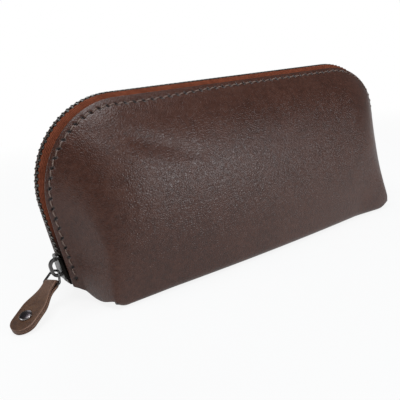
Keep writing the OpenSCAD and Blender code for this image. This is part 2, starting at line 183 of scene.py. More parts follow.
def settled(points):
    """Soft set of the sewn case. The right shoulder and the right lower corner swell, a shallow crease
    crosses the front below the seam, and the ends sag below the zip: each is a product of bell curves and
    smooth steps of the distances along, across and up. The base's four corners are rubbed round, as a square
    drawn into a disc."""
    x, y, z = np.moveaxis(points, -1, 0)
    shoulder = shoulder_swell * smooth_step(x, 60, 96) * bell(z, 68, 17)
    corner = corner_swell * smooth_step(x, 60, 84) * bell(z, 4, 14) * smooth_step(abs(y), 8, 18)
    crease_z = 66 - 0.36 * (x + 70)
    crease = crease_depth * bell(z, crease_z, 3.6) * bell(x, -62, 22) * smooth_step(-y, 8, 16)
    low_end = smooth_step(abs(x), 80, 90) * smooth_step(z, 19.6, 5.6)
    sag = np.minimum(end_sag * low_end * bell(abs(y), 14, 7), 0.7 * np.maximum(z, 0))
    round_r = np.where(x > 0, rubbed_right, rubbed_left)
    u = np.clip((abs(x) - base_len / 2) / round_r + 1, 0, 1)
    w = np.clip(1 - z / round_r, 0, 1)
    rubbed = round_r * smooth_step(abs(y), 18, 26)
    shift_x = shoulder - np.sign(x) * rubbed * u * (1 - np.sqrt(1 - w ** 2 / 2))
    shift_y = np.sign(y) * corner + crease
    shift_z = rubbed * w * (1 - np.sqrt(1 - u ** 2 / 2)) - sag
    return points + np.stack([shift_x, shift_y, shift_z], -1)


def make_piece(name, points, faces, finish, uv=None, marks=None, flip=False, soft=False, merge=False,
               sharp=40):
    """Mesh object of points in millimetres, with a UV and named marks per point. Flip mirrors it to the
    back, soft gives it the case's own set, merge joins points that meet, and edges that turn by more than
    sharp degrees stay crisp."""
    if flip:
        points = points * np.array([1, -1, 1])
        faces = faces[:, ::-1]
    if soft:
        points = settled(points)
    mesh = bpy.data.meshes.new(name)
    mesh.from_pydata((points * MM).tolist(), [], faces.tolist())
    if uv is not None:
        layer = mesh.uv_layers.new(name="UVMap")
        layer.data.foreach_set("uv", uv[faces.ravel()].astype(np.float32).ravel())
    for mark, values in (marks or {}).items():
        attribute = mesh.attributes.new(mark, "FLOAT", "POINT")
        attribute.data.foreach_set("value", values.astype(np.float32).ravel())
    shape = bmesh.new()
    shape.from_mesh(mesh)
    if merge:
        bmesh.ops.remove_doubles(shape, verts=shape.verts, dist=2e-6)
    bmesh.ops.recalc_face_normals(shape, faces=shape.faces)
    shape.to_mesh(mesh)
    shape.free()
    mesh.polygons.foreach_set("use_smooth", np.ones(len(mesh.polygons), bool))
    mesh.set_sharp_from_angle(angle=np.radians(sharp))
    mesh.materials.append(finish)
    mesh.update()
    piece = bpy.data.objects.new(name, mesh)
    bpy.context.scene.collection.objects.link(piece)
    return piece


# Shader expressions

class Value:
    """A shader socket; arithmetic on it adds Math nodes to its finish."""

    def __init__(self, finish, socket):
        self.finish = finish
        self.socket = socket

    def maths(self, operation, *inputs):
        return self.finish.node("ShaderNodeMath", {"operation": operation}, dict(enumerate(inputs)))

    def __add__(self, other):
        return self.maths("ADD", self, other)

    __radd__ = __add__

    def __sub__(self, other):
        return self.maths("SUBTRACT", self, other)

    def __rsub__(self, other):
        return self.maths("SUBTRACT", other, self)

    def __mul__(self, other):
        return self.maths("MULTIPLY", self, other)

    __rmul__ = __mul__

    def sine(self):
        return self.maths("SINE", self)

    def least(self, other):
        return self.maths("MINIMUM", self, other)

    def most(self, other):
        return self.maths("MAXIMUM", self, other)

    def between(self, low, high):
        """0 at low and below, 1 at high and above, smooth between."""
        settings = {"interpolation_type": "SMOOTHSTEP"}
        return self.finish.node("ShaderNodeMapRange", settings, {0: self, 1: low, 2: high})


class Finish:
    """A node material; its Principled shader takes the finished values."""

    def __init__(self, name):
        self.material = bpy.data.materials.new(name)
        self.material.use_nodes = True
        self.tree = self.material.node_tree
        self.shader = self.tree.nodes["Principled BSDF"]
        self.place = self.node("ShaderNodeTexCoord", {}, {}, "Object")
        self.sheet = self.node("ShaderNodeTexCoord", {}, {}, "UV")

    def put(self, socket, value):
        """Links a value to a socket, or sets the socket to a plain number or colour."""
        if isinstance(value, Value):
            self.tree.links.new(value.socket, socket)
        else:
            socket.default_value = value

    def node(self, kind, settings, sockets, out=0):
        """Adds a node of any kind with its settings, then the values or links of its sockets."""
        made = self.tree.nodes.new(kind)
        for key, value in settings.items():
            if key == "stops":
                ramp = made.color_ramp.elements
                while len(ramp) < len(value):
                    ramp.new(0.5)
                for element, (position, colour) in zip(ramp, value):
                    element.position = position
                    element.color = (*colour, 1)
            else:
                setattr(made, key, value)
        for key, value in sockets.items():
            self.put(made.inputs[key], value)
        return Value(self, made.outputs[out])

    def noise(self, per_m, detail=4, rough=0.55, at=None):
        """Soft noise with about so many patches to the metre."""
        sockets = {"Vector": at or self.place, "Scale": per_m, "Detail": detail, "Roughness": rough}
        return self.node("ShaderNodeTexNoise", {}, sockets, "Fac")

    def cells(self, per_m):
        """Distance from the edges of a pebbled grain's cells, so many to the metre."""
        settings = {"feature": "DISTANCE_TO_EDGE"}
        return self.node("ShaderNodeTexVoronoi", settings, {"Vector": self.place, "Scale": per_m}, "Distance")

    def mark(self, name):
        """A named value kept with the piece's points."""
        return self.node("ShaderNodeAttribute", {"attribute_name": name}, {}, "Fac")

    def mix(self, share, a, b):
        """Colour a where share is 0, and b where it is 1."""
        a = a if isinstance(a, Value) else (*a, 1)
        b = b if isinstance(b, Value) else (*b, 1)
        return self.node("ShaderNodeMix", {"data_type": "RGBA"}, {0: share, 6: a, 7: b}, 2)

    def ramp(self, value, stops):
        """Colour between the stops that lie on either side of a value."""
        return self.node("ShaderNodeValToRGB", {"stops": stops}, {0: value})

    def split(self, vector):
        """The three parts of a vector."""
        return [self.node("ShaderNodeSeparateXYZ", {}, {0: vector}, part) for part in range(3)]

    def drawn_out(self, scale, turn):
        """Object coordinates drawn out by a scale along turned axes."""
        sockets = {"Vector": self.place, "Scale": scale, "Rotation": turn}
        return self.node("ShaderNodeMapping", {"vector_type": "TEXTURE"}, sockets)

    def bump(self, height, depth_mm, strength):
        """Surface relief of so many millimetres."""
        sockets = {"Height": height, "Distance": depth_mm * MM, "Strength": strength}
        return self.node("ShaderNodeBump", {}, sockets, "Normal")

    def done(self, **sockets):
        """Fills the Principled shader's sockets and gives the material."""
        for name, value in sockets.items():
            self.put(self.shader.inputs[name.replace("_", " ")], value)
        return self.material


# Finishes

def leather_finish(name, dark, warm, pale, edge, rough, relief_mm):
    """Smooth full-grain leather: mottled brown, fine pebble grain and creases, paler at cut edges and where a
    painted highlight lies along rounded rims, and painted shade in the holes."""
    f = Finish(name)
    clouds = f.noise(22, 4, 0.6)
    patches = f.noise(120, 5, 0.65)
    mottle = f.noise(560, 4, 0.65)
    pebbles = f.cells(1000)
    lines = f.noise(420, 3, 0.5, f.drawn_out((2.4, 1, 1), (0, -0.5, 0))) - 0.5
    creases = (lines * lines).between(0.0, 0.0016)
    blotches = clouds * 0.25 + patches * 0.25 + mottle * 0.5
    # painted shade: the pricked stitch holes are coloured near black
    hole_shade = (0.003, 0.002, 0.002)
    tone = f.ramp(blotches, [(0.40, dark), (0.5, warm), (0.60, pale)])
    # the edge colour goes on the cut edges, and on the tab also as a painted highlight along its rounded rims
    tone = f.mix(f.mark("raw_edge"), tone, edge)
    tone = f.mix(f.mark("stitch_hole"), tone, hole_shade)
    grain = pebbles.between(0.0, 0.3) * 0.48 + creases * 0.18 + mottle * 0.6 + patches * 0.6
    return f.done(Base_Color=tone, Roughness=rough + patches * 0.14 + mottle * 0.14,
                  Normal=f.bump(grain, relief_mm, 0.8), Specular_IOR_Level=0.46)


def cloth_finish(name, tone, shade, thread_mm):
    """Plain woven cloth on the sheet's own millimetres: over and under threads with a little slub."""
    f = Finish(name)
    u, v, _ = f.split(f.sheet)
    per_mm = 2 * np.pi / thread_mm
    over = (u * per_mm).sine() * (v * per_mm).sine()
    slub = f.noise(700, 3)
    weave = over * 0.5 + 0.5
    colour = f.mix((weave * 0.6 + slub * 0.4).between(0.2, 0.8), shade, tone)
    return f.done(Base_Color=colour, Roughness=0.92, Normal=f.bump(weave + slub * 0.4, 0.12, 0.8),
                  Specular_IOR_Level=0.2)


def tape_finish(name, tone, shade, end_shade):
    """Woven zip tape: close ribs along the zip, crossed by finer threads, and painted shade that darkens both
    ends.
    """
    f = Finish(name)
    u, v, _ = f.split(f.sheet)
    rib_mm = 0.62
    thread_mm = 0.5
    ribs = (v * (2 * np.pi / rib_mm)).sine() * 0.5 + 0.5
    crossing = (u * (2 * np.pi / thread_mm) + ribs * 2.4).sine() * 0.5 + 0.5
    slub = f.noise(420, 4)
    weave = ribs * 0.55 + crossing * 0.45
    colour = f.mix((weave * 0.6 + slub * 0.5).between(0.25, 0.85), shade, tone)
    from_ends = u.least(zip_len - u)
    # painted shade: the tape is fully near black within 14 mm of each end and fades back to its own colour by
    # 34 mm
    colour = f.mix(from_ends.between(14, 34), end_shade, colour)
    return f.done(Base_Color=colour, Roughness=0.88, Normal=f.bump(weave, 0.16, 0.9), Specular_IOR_Level=0.08)


def metal_finish(name, tone, worn, rough, wear, patches=260, flank_mm=None):
    """Antique plated metal: a dark plate with cloudy wear, brighter at rubbed rims. Where flank_mm is given,
    painted shade blackens what lies further than that from the zip's plane."""
    f = Finish(name)
    clouds = f.noise(patches, 5, 0.65)
    grains = f.noise(2600, 3, 0.6)
    rubbed = (clouds * 0.7 + grains * 0.3).between(0.62 - wear, 0.72).most(f.mark("rubbed_rim"))
    colour = f.mix(rubbed, tone, worn)
    if flank_mm:
        # painted shade: what lies beyond flank_mm from the zip's plane is coloured near black, fading in over
        # 0.7 mm
        flank_shade = (0.012, 0.011, 0.010)
        fade_mm = 0.7
        _, y, _ = f.split(f.place)
        flank = (y * y).between((flank_mm * MM) ** 2, ((flank_mm + fade_mm) * MM) ** 2)
        colour = f.mix(flank, colour, flank_shade)
    return f.done(Base_Color=colour, Metallic=1.0, Roughness=rough + grains * 0.18 - rubbed * 0.08,
                  Normal=f.bump(grains + clouds, 0.02, 0.5))


def thread_finish(name, tone, shade, ply_mm):
    """Waxed thread: twisted plies, so many millimetres to a turn."""
    f = Finish(name)
    u, v, _ = f.split(f.sheet)
    plies = (u * (2 * np.pi / ply_mm) + v * (2 * np.pi)).sine() * 0.5 + 0.5
    colour = f.mix(plies, shade, tone)
    return f.done(Base_Color=colour, Roughness=0.7, Normal=f.bump(plies, 0.08, 0.9))


body_leather = leather_finish("brown_leather", dark=(0.043, 0.0134, 0.0074), warm=(0.061, 0.0198, 0.0114),
                              pale=(0.077, 0.0278, 0.0168), edge=(0.062, 0.030, 0.022),
                              rough=0.18, relief_mm=0.15)
# the strap's pale edge colour is both its cut edge and a painted highlight on its rounded rims
strap_leather = leather_finish("strap_leather", dark=(0.043, 0.0143, 0.0040), warm=(0.068, 0.0240, 0.0070),
                               pale=(0.094, 0.0380, 0.0125), edge=(0.23, 0.125, 0.085),
                               rough=0.42, relief_mm=0.07)
lining_cloth = cloth_finish("lining_cloth", tone=(0.24, 0.165, 0.11), shade=(0.10, 0.066, 0.042),
                            thread_mm=0.7)
# the last colour is painted shade for the tape's ends
zip_tape = tape_finish("rust_tape", tone=(0.27, 0.076, 0.038), shade=(0.075, 0.020, 0.010),
                       end_shade=(0.010, 0.006, 0.005))
tooth_metal = metal_finish("gunmetal_teeth", tone=(0.07, 0.062, 0.055), worn=(0.42, 0.38, 0.34),
                           rough=0.34, wear=0.10, patches=900)
# the slider gets painted shade on its flanks beyond 2.4 mm from the zip's plane
slider_metal = metal_finish("gunmetal_slider", tone=(0.110, 0.105, 0.104), worn=(0.36, 0.35, 0.345),
                            rough=0.27, wear=0.10, flank_mm=2.4)
ring_metal = metal_finish("gunmetal_ring", tone=(0.100, 0.096, 0.094), worn=(0.32, 0.31, 0.305),
                          rough=0.27, wear=0.10)
rivet_metal = metal_finish("rivet_plate", tone=(0.060, 0.050, 0.056), worn=(0.42, 0.39, 0.38),
                           rough=0.22, wear=0.04)
stitch_thread = thread_finish("waxed_thread", tone=(0.29, 0.20, 0.165), shade=(0.085, 0.055, 0.043),
                              ply_mm=0.7)


# Lines and surfaces of the leather

def zip_line(s):
    """Zip line at distance s from its left end: a leaning straight side, a round corner and the top, then the
    mirror image. Gives the points, the outward directions and the directions along the zip."""
    m = np.minimum(s, zip_len - s)
    side = np.where(s <= half_len, 1.0, -1.0)
    turn = np.clip((m - side_len) / corner_r - side_lean, -side_lean, np.pi / 2)
    straight = np.minimum(m - side_len, 0) + np.maximum(m - side_len - arc_len, 0)
    none = np.zeros_like(turn)
    x = -top_half - corner_r * np.cos(turn) + straight * np.sin(turn)
    z = zip_h - corner_r + corner_r * np.sin(turn) + straight * np.cos(turn)
    at = np.stack([side * x, none, z], -1)
    outward = np.stack([-side * np.cos(turn), none, np.sin(turn)], -1)
    along = np.stack([np.sin(turn), none, side * np.cos(turn)], -1)
    return at, outward, along


def strip_frame(s):
    """Direction down the sewn strip and its outward normal: the zip's directions turned by the roof angle."""
    _, outward, _ = zip_line(s)
    down = np.cos(roof) * forward - np.sin(roof) * outward
    out = np.cos(roof) * outward + np.sin(roof) * forward
    return down, out


def on_strip(s, across, above):
    """Point beside the zip, so far down the strip's slope and above the middle of the tape."""
    at, _, _ = zip_line(s)
    down, out = strip_frame(s)
    return at + bend_h * forward + across[..., None] * down + above[..., None] * out


def from_end(s):
    """Distance along the zip from its nearer end."""
    return np.minimum(s, zip_len - s)


def inward(s):
    """The way along the case to its middle: 1 on the zip's left half and -1 on its right."""
    return np.where(s < half_len, 1.0, -1.0)


def fold_radius(x):
    """Fold radius of the base, tighter towards the corners."""
    corner_fold = leather_t + 0.6
    return corner_fold + (fold_r - corner_fold) * np.minimum(1, (base_len / 2 - abs(x)) / rise_len)


def base_y(x):
    """Front edge of the base, bowed forward in the middle."""
    return -base_depth / 2 - base_bow * (1 - (2 * x / base_len) ** 2)


def end_rise(x):
    """Share of the base's rise: the square of a straight run from 0, rise_len before an end, to 1 there."""
    return (1 - np.minimum(1, (base_len / 2 - abs(x)) / rise_len)) ** 2


def fold_point(x, angle):
    """Point round the fold between panel and base: 0 is the panel's foot and a quarter turn is the floor."""
    r = fold_radius(x)
    x, angle, r = np.broadcast_arrays(x, angle, r)
    return np.stack([x, base_y(x) + r * (1 - np.cos(angle)), r * (1 - np.sin(angle))], -1)


def shown_tape(s):
    """Width of tape between the zip and the leather's edge: narrow beside the ends, wide over the top."""
    return tape_least + (tape_most - tape_least) * smooth_step(from_end(s), 14, 70)


def seam_in(s):
    """Distance of the stitches from the leather's edge, largest round the upper left corner."""
    return stitch_in + 1.4 * bell(s, 108, 26) - 0.35 * bell(s, 40, 24)


def panel_surface(s, t):
    """Outer face of the front panel. Across it, t runs 0 to 1 over the straight sewn strip, 1 to 2 down a
    cubic curve from the strip to the base, and 2 to 3 round the fold to the floor."""
    leave_pull = 0.95
    arrive_pull = 0.9
    s, t = np.broadcast_arrays(s, t)
    _, _, along = zip_line(s)
    down, _ = strip_frame(s)
    end = from_end(s)
    slant = end_drop * bell(end, 0, 8) * inward(s)
    edge = on_strip(s, shown_tape(s), np.full(s.shape, skin_o))
    strip = down * strip_w - slant[..., None] * along
    across = np.clip(t, 0, 1)[..., None]
    start = edge + strip
    x = -inward(s) * base_len / 2 * (1 - (end / half_len) ** 2.2)
    foot = fold_point(x, np.zeros_like(x))
    reach = np.linalg.norm(foot - start, axis=-1, keepdims=True)
    near = bell(end, 0, 14)[..., None]
    one = np.ones_like(s)
    end_leave = np.stack([0.35 * inward(s), -0.8 * one, -0.35 * one], -1)
    end_arrive = np.stack([0.25 * inward(s), -0.95 * one, -0.15 * one], -1)
    leave = unit((1 - near) * down + near * end_leave)
    arrive = unit((1 - near) * np.array([0, 0.06, -1]) + near * end_arrive)
    v = np.clip(t - 1, 0, 1)[..., None]
    drop = (start * (2 * v ** 3 - 3 * v ** 2 + 1) + leave * leave_pull * reach * (v ** 3 - 2 * v ** 2 + v)
            + foot * (3 * v ** 2 - 2 * v ** 3) + arrive * arrive_pull * reach * (v ** 3 - v ** 2))
    fold = fold_point(x, fold_end * np.clip(t - 2, 0, 1))
    which = t[..., None]
    return np.where(which <= 1, edge + across * strip, np.where(which <= 2, drop, fold))


def grid_normals(grid):
    """Outward normals of a grid: the cross product of its differences across and along."""
    return unit(np.cross(np.gradient(grid, axis=1), np.gradient(grid, axis=0)))


def panel_normals(grid, s, t):
    """Normals of the panel; round the fold they are the fold's own, turned to the end wall's at corners."""
    wall_row = 1.8
    normals = grid_normals(grid)
    wall = normals[:, [np.argmin(abs(t - wall_row))]]
    angle = fold_end * np.clip(t - 2, 0, 1)
    own = np.stack([0 * angle, -np.cos(angle), -np.sin(angle)], -1)[None]
    corner = bell(from_end(s), 0, 16)[:, None, None]
    folded = unit(corner * wall + (1 - corner) * own)
    share = smooth_step(t, 1.85, 2)[None, :, None]
    return unit((1 - share) * normals + share * folded)


# Leather panels

def stitch_places():
    """Distances along the zip of the pricked holes, evenly pitched and centred on the zip."""
    count = int((zip_len - 2 * stitch_first) / stitch_pitch)
    return (zip_len - count * stitch_pitch) / 2 + stitch_pitch * np.arange(count + 1)


def stitch_holes(s, across):
    """1 in the middle of each slanted hole and 0 away from it: a turned bell round the nearest place."""
    turn = np.radians(35)
    places = stitch_places()
    nearest = places[np.argmin(abs(s[:, None] - places), axis=1)]
    off_s = (s - nearest)[:, None]
    off_d = across[None] - seam_in(s)[:, None]
    narrow = off_s * np.cos(turn) - off_d * np.sin(turn)
    long = off_s * np.sin(turn) + off_d * np.cos(turn)
    return np.exp(-(narrow / hole_half) ** 4 - (long / hole_long) ** 4)


def make_panel(name, flip):
    """Leather panel: the lofted face with a rounded cut edge, a sewn groove and pricked holes, and its inner
    face."""
    drop_rows = 34
    fold_rows = 5
    drop_len = 60
    round_r = 0.45
    groove_w = 0.7
    groove_depth = 0.10
    raw_w = 0.14
    s = np.linspace(0, zip_len, 700)
    rim = np.array([0, 0.06, 0.16, 0.3])
    strip = np.concatenate([rim, np.linspace(0.5, strip_w, 14)])
    drop = np.arange(1, drop_rows + 1) / drop_rows
    fold = np.arange(1, fold_rows + 1) / fold_rows
    t = np.concatenate([strip / strip_w, 1 + drop, 2 + fold])
    grid = panel_surface(s[:, None], t[None])
    normals = panel_normals(grid, s, t)
    across = np.minimum(t, 1) * strip_w + np.maximum(t - 1, 0) * drop_len
    rounding = round_r - np.sqrt(round_r ** 2 - np.clip(round_r - across, 0, None) ** 2)
    groove = groove_depth * bell(across[None], seam_in(s)[:, None], groove_w)
    holes = stitch_holes(s, across)
    sunk = rounding[None] + groove + hole_depth * holes
    outer = grid - sunk[..., None] * normals
    inner = grid - leather_t * normals
    points, faces = shell(outer, inner)
    pale_edge = np.broadcast_to(np.clip(1 - across / raw_w, 0, 1), holes.shape)
    raw_inner = np.broadcast_to(across == 0, holes.shape)
    # the hole mask also carries painted shade into the leather's colour
    marks = {
        "raw_edge": np.concatenate([pale_edge.ravel(), raw_inner.ravel()]),
        "stitch_hole": np.concatenate([holes.ravel(), 0 * holes.ravel()]),
    }
    return make_piece(name, points, faces, body_leather, marks=marks, flip=flip, soft=True)


def make_base():
    """Base leather: a flat sheet between the two folds whose ends rise in the middle to the zip. Across it, q
    runs from 0 at the fold to 1 in the middle; the rise follows the inner face of the panels' end edges."""
    meet = 0.86
    across = np.linspace(0, 3, 181)
    near_end = np.array([0, 0.5])
    wall = panel_surface(near_end[:, None], across[None])
    normal = panel_normals(wall, near_end, across)[0]
    q = np.linspace(0, 1, 40)
    row = np.interp(q, [0, 0.45, meet, 1], [1.9, 1.45, 0, 0])
    corner_inset = leather_t + sheet_gap
    inset = corner_inset + (base_inset - corner_inset) * smooth_step(q, 0.15, 0.5)
    end_line = np.stack([np.interp(row, across, wall[0, :, k]) - inset * np.interp(row, across, normal[:, k])
                         for k in range(3)], -1)
    end_line[:, 1] *= np.clip((1 - q) / (1 - meet), 0, 1)
    x = -base_len / 2 * np.cos(np.linspace(0, np.pi, 91))

    def flat(at_x):
        """Flat of the base from its front fold to the middle."""
        at_x, col = np.broadcast_arrays(at_x[:, None], q[None])
        return np.stack([at_x, (base_y(at_x) + fold_radius(at_x)) * (1 - col), 0 * at_x], -1)

    shift = (end_line[None] - flat(np.array([-base_len / 2]))) * smooth_step(q, 0, 0.1)[None, :, None]
    sign = np.where(x < 0, 1.0, -1.0)
    one = np.ones_like(x)
    share = end_rise(x)[:, None] * np.stack([sign, one, one], -1)
    grid = flat(x) + share[:, None] * shift
    grid = np.concatenate([grid, grid[:, -2::-1] * np.array([1, -1, 1])], axis=1)
    points, faces = shell(grid, grid - leather_t * grid_normals(grid))
    none = np.zeros(len(points))
    marks = {"raw_edge": none, "stitch_hole": none}
    return make_piece("base_leather", points, faces, body_leather, marks=marks, soft=True)


def make_stitches(name, flip):
    """Row of stitches: each a short tube from hole to hole that bows over the leather and thins into both
    holes."""
    steps = 9
    sides = 8
    slant = 0.5
    sunk = 0.5
    bow = 0.58
    place = stitch_places()[:-1, None]
    e = np.linspace(0, 1, steps)[None]
    s = place + hole_half + e * (stitch_pitch - 2 * hole_half)
    across = shown_tape(s) + seam_in(s) + slant * (0.5 - e)
    above = skin_o - sunk + bow * np.sin(np.pi * e) ** 0.6 + 0 * place
    middle = on_strip(s, across, above)
    down, out = strip_frame(s)
    angle = np.linspace(0, 2 * np.pi, sides, endpoint=False)
    size = thread_r * np.clip(np.sin(np.pi * e), 0, 1) ** 0.3
    size = (size + 0 * place)[..., None, None]
    ring = np.cos(angle)[:, None] * down[..., None, :] + np.sin(angle)[:, None] * out[..., None, :]
    points = middle[..., None, :] + size * ring
    count = points.shape[0]
    points, faces = repeated(points.reshape(count, -1, 3), grid_quads(steps, sides, wrap=True))
    length = np.broadcast_to((e * stitch_pitch)[..., None], (count, steps, sides)).ravel()
    around = np.broadcast_to(angle / (2 * np.pi), (count, steps, sides)).ravel()
    uv = np.stack([length, around], -1)
    return make_piece(name, points, faces, stitch_thread, uv=uv, flip=flip, soft=True, merge=True)


def make_lining(name, flip):
    """Panel lining: the panel's own surface set in by the leather and the tape, short of the base."""
    end_gap = 12
    first_row = 0.5
    last_row = 1.975
    corner_lift = 0.178
    drop_len = 80
    s = np.linspace(end_gap, zip_len - end_gap, 200)
    lowest = last_row - corner_lift * bell(from_end(s), 0, 25)
    k = np.linspace(0, 1, 44)
    t = first_row + (lowest[:, None] - first_row) * k[None]
    grid = panel_surface(s[:, None], t)
    normals = grid_normals(grid)
    points, faces = shell(grid - lining_d * normals, grid - (lining_d + lining_t) * normals)
    uv = np.stack(np.broadcast_arrays(s[:, None], k[None] * drop_len), -1).reshape(-1, 2)
    return make_piece(name, points, faces, lining_cloth, uv=np.concatenate([uv, uv]), flip=flip, soft=True)


def make_base_lining():
    """Lining of the base: the middle of the base's inner face, raised by its own thickness and a gap."""
    depth_share = 6 / 7
    low, high = (np.array(corner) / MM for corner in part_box("base_lining"))
    x = np.linspace(low[0], high[0], 80)
    v = np.linspace(-1, 1, 40)
    depth = -(base_y(x) + fold_radius(x)) * depth_share
    rise = end_rise(x)
    lift = rise * (high[2] - low[2] - lining_t) / rise.max()
    under = leather_t + sheet_gap + lift
    floor = np.stack(np.broadcast_arrays(x[:, None], depth[:, None] * v[None], under[:, None]), -1)
    points, faces = shell(floor + np.array([0, 0, lining_t]), floor)
    uv = np.stack([points[:, 0], points[:, 1]], -1)
    return make_piece("base_lining_cloth", points, faces, lining_cloth, uv=uv, soft=True)


# Zip

def make_tape(name, flip):
    """Zip tape: flat in the zip's plane up to a round bend, then down the strip's slope under the leather."""
    bend_r = 1.2
    edge_gap = 0.5
    s = np.linspace(0, zip_len, 330)
    set_back = bend_r * np.tan(roof / 2)
    flat_w = bend_h - set_back
    bent_w = flat_w + bend_r * roof
    flat = np.linspace(tape_in, flat_w, 5)
    bend = flat_w + bend_r * roof * np.arange(1, 8) / 8
    near = np.concatenate([flat, bend])
    slope = (shown_tape(s) + strip_w - edge_gap - set_back)[:, None] * np.linspace(0, 1, 12)
    w = np.concatenate([np.broadcast_to(near, (len(s), len(near))), bent_w + slope], axis=1)
    turn = np.clip((w - flat_w) / bend_r, 0, roof)
    past = np.maximum(w - bent_w, 0)
    ahead = np.minimum(w, flat_w) + bend_r * np.sin(turn) + past * np.cos(roof)
    fall = -bend_r * (1 - np.cos(turn)) - past * np.sin(roof)
    at, outward, _ = zip_line(s)
    middle = at[:, None] + outward[:, None] * fall[..., None] + forward * ahead[..., None]
    normal = outward[:, None] * np.cos(turn)[..., None] + forward * np.sin(turn)[..., None]
    points, faces = shell(middle + tape_t / 2 * normal, middle - tape_t / 2 * normal)
    uv = np.stack(np.broadcast_arrays(s[:, None], w), -1).reshape(-1, 2)
    return make_piece(name, points, faces, zip_tape, uv=np.concatenate([uv, uv]), flip=flip, soft=True)


def make_teeth(name, first, flip):
    """Row of teeth: one cross-section with two legs that grip the tape, drawn along the zip with bevelled
    ends."""
    grip = tape_t / 2 + fit_gap
    grip_h = tape_in - fit_gap
    half = np.array([[0.80, -tooth_head], [1, 0.25 - tooth_head], [1, 0.3], [0.84, 0.9],
                     [0.84, tooth_reach - 0.3]])
    half[:, 0] *= tooth_half
    legs = np.array([[grip, tooth_reach], [grip, grip_h]])
    side = np.concatenate([half, legs])
    outline = np.concatenate([side, side[::-1] * np.array([-1, 1])])
    count = len(outline)
    middle = np.array([0, 0.3 * tooth_reach])
    rings = np.array([[-0.5, 0.66], [-0.4, 0.88], [-0.24, 1], [0.24, 1], [0.4, 0.88], [0.5, 0.66]])
    flat = middle + (outline - middle) * rings[:, 1, None, None]
    lift = rings[:, 0, None] * tooth_w
    teeth = int((zip_len - last_tooth_gap - first_tooth) / pitch)
    at, outward, along = zip_line(first + pitch * np.arange(teeth))
    points = (at[:, None, None] + outward[:, None, None] * flat[None, ..., :1]
              + forward * flat[None, ..., 1:] + along[:, None, None] * lift[None, ..., None])
    last = count - 1
    rows = np.arange(3)
    body = np.stack([rows, rows + 1, last - rows - 1, last - rows], -1)
    leg_caps = [[3, 6, last - 6, last - 3], [3, 4, 5, 6], [last - 6, last - 5, last - 4, last - 3]]
    cap = np.concatenate([body, leg_caps])
    far_cap = cap[:, ::-1] + (len(rings) - 1) * count
    faces = np.concatenate([grid_quads(len(rings), count, wrap=True), cap, far_cap])
    points, faces = repeated(points.reshape(teeth, -1, 3), faces)
    return make_piece(name, points, faces, tooth_metal, flip=flip, soft=True, sharp=30)


# Pull

def rounded_path(corners, radii, steps):
    """Closed run of corners, each rounded to its radius by an arc."""
    runs = []
    for k, p in enumerate(corners):
        arriving = unit(p - corners[k - 1])
        leaving = unit(corners[(k + 1) % len(corners)] - p)
        turn = np.arccos(arriving @ leaving)
        cut = radii[k] * np.tan(turn / 2)
        middle = p + unit(leaving - arriving) * radii[k] / np.cos(turn / 2)
        start = p - arriving * cut
        angle = np.linspace(0, turn, steps)[:, None]
        runs.append(middle + (start - middle) * np.cos(angle) + arriving * radii[k] * np.sin(angle))
    return np.concatenate(runs)


def pull_frame(slope):
    """Directions of the pull: along it, along its bars and up from it."""
    level = np.cos(slope)
    ahead = np.array([-np.cos(pull_heading) * level, -np.sin(pull_heading) * level, -np.sin(slope)])
    bars = np.array([np.sin(pull_heading), -np.cos(pull_heading), 0])
    return ahead, bars, np.cross(ahead, bars)


hook_at, hook_out, hook_along = (v[0] for v in zip_line(np.array([slider_at])))
hook = hook_at + hook_n * hook_out + hook_t * hook_along
ring_ahead, ring_bars, ring_up = pull_frame(ring_slope)
tab_ahead, tab_bars, tab_up = pull_frame(tab_slope)
bar = hook - ring_shift * ring_bars + ring_len * ring_ahead


def make_ring():
    """Wire ring: a round wire carried along a rounded four-sided path."""
    corner_steps = 14
    sides = 20
    corners = np.array([[0, ring_top], [0, -ring_top], [ring_len, -ring_low], [ring_len, ring_low]], float)
    path = rounded_path(corners, [ring_top, ring_top, low_bend, low_bend], corner_steps)
    path = hook + path[:, :1] * ring_ahead + (path[:, 1:] - ring_shift) * ring_bars
    tangent = unit(np.roll(path, -1, 0) - np.roll(path, 1, 0))
    side = np.cross(tangent, ring_up)
    angle = np.linspace(0, 2 * np.pi, sides, endpoint=False)[None, :, None]
    points = path[:, None] + wire_r * (np.cos(angle) * side[:, None] + np.sin(angle) * ring_up)
    loop = np.concatenate([points, points[:1]]).reshape(-1, 3)
    faces = grid_quads(len(path) + 1, sides, wrap=True)
    return make_piece("ring_wire", loop, faces, ring_metal, merge=True)


def tab_half_width(x):
    """Half width of the tab: a straight neck, a soft widening, then the round end."""
    neck_x = 3
    wide_x = 14
    lean = np.arctan((ring_low - ring_top) / ring_len)
    neck = ring_low - low_bend * np.tan((np.pi / 2 + lean) / 2) - fit_gap
    bulb_x = tab_len - tab_r
    widening = neck + (tab_r - neck) * smooth_step(x, neck_x, wide_x)
    return np.where(x < bulb_x, widening, np.sqrt(np.clip(tab_r ** 2 - (x - bulb_x) ** 2, 0, None)))


